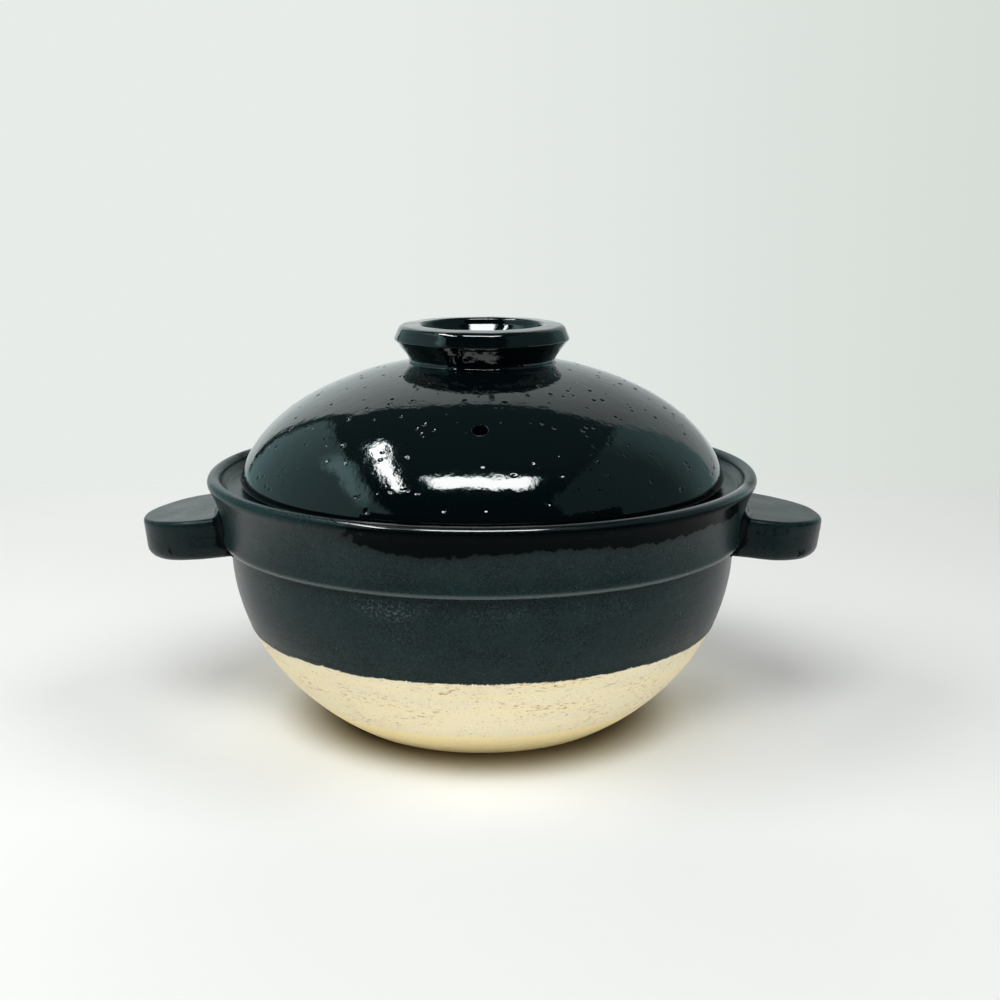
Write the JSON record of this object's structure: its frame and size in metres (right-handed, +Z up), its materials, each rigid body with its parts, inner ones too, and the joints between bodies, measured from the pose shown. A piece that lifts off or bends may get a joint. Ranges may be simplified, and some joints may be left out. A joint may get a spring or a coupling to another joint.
{
  "type": "clay pot",
  "caption": "Thick-walled round clay pot with two lug handles, a flat inner lid and a domed outer lid with a ring knob and steam hole.",
  "frame": {"origin": "centre of the flat base, on the surface the pot stands on", "axes": "+Z up; +X towards the right lug; -Y towards the side with the steam hole"},
  "size_m": [0.3006, 0.24, 0.1747],
  "materials": {
    "pot_glaze": "satin charcoal glaze over the upper body, bare pale clay below",
    "lid_glaze": "gloss black glaze with a teal cast",
    "inner_lid_glaze": "satin charcoal glaze"
  },
  "bodies": {
    "pot": {"pot_body": "pot_glaze", "left_handle": "pot_glaze", "right_handle": "pot_glaze"},
    "outer_lid": {"outer_lid": "lid_glaze", "outer_lid_knob": "lid_glaze"},
    "inner_lid": {"inner_lid": "inner_lid_glaze", "inner_lid_knob": "inner_lid_glaze"}
  },
  "joints": [
    {"name": "outer_lid_lift", "type": "slide", "parent": "pot", "child": "outer_lid", "axis": [0, 0, 1], "range_m": [0, 0.15]},
    {"name": "inner_lid_lift", "type": "slide", "parent": "pot", "child": "inner_lid", "axis": [0, 0, 1], "range_m": [0, 0.075]}
  ],
  "couplings": [
    {"joint": "inner_lid_lift", "follows": "outer_lid_lift", "ratio": 0.5}
  ]
}
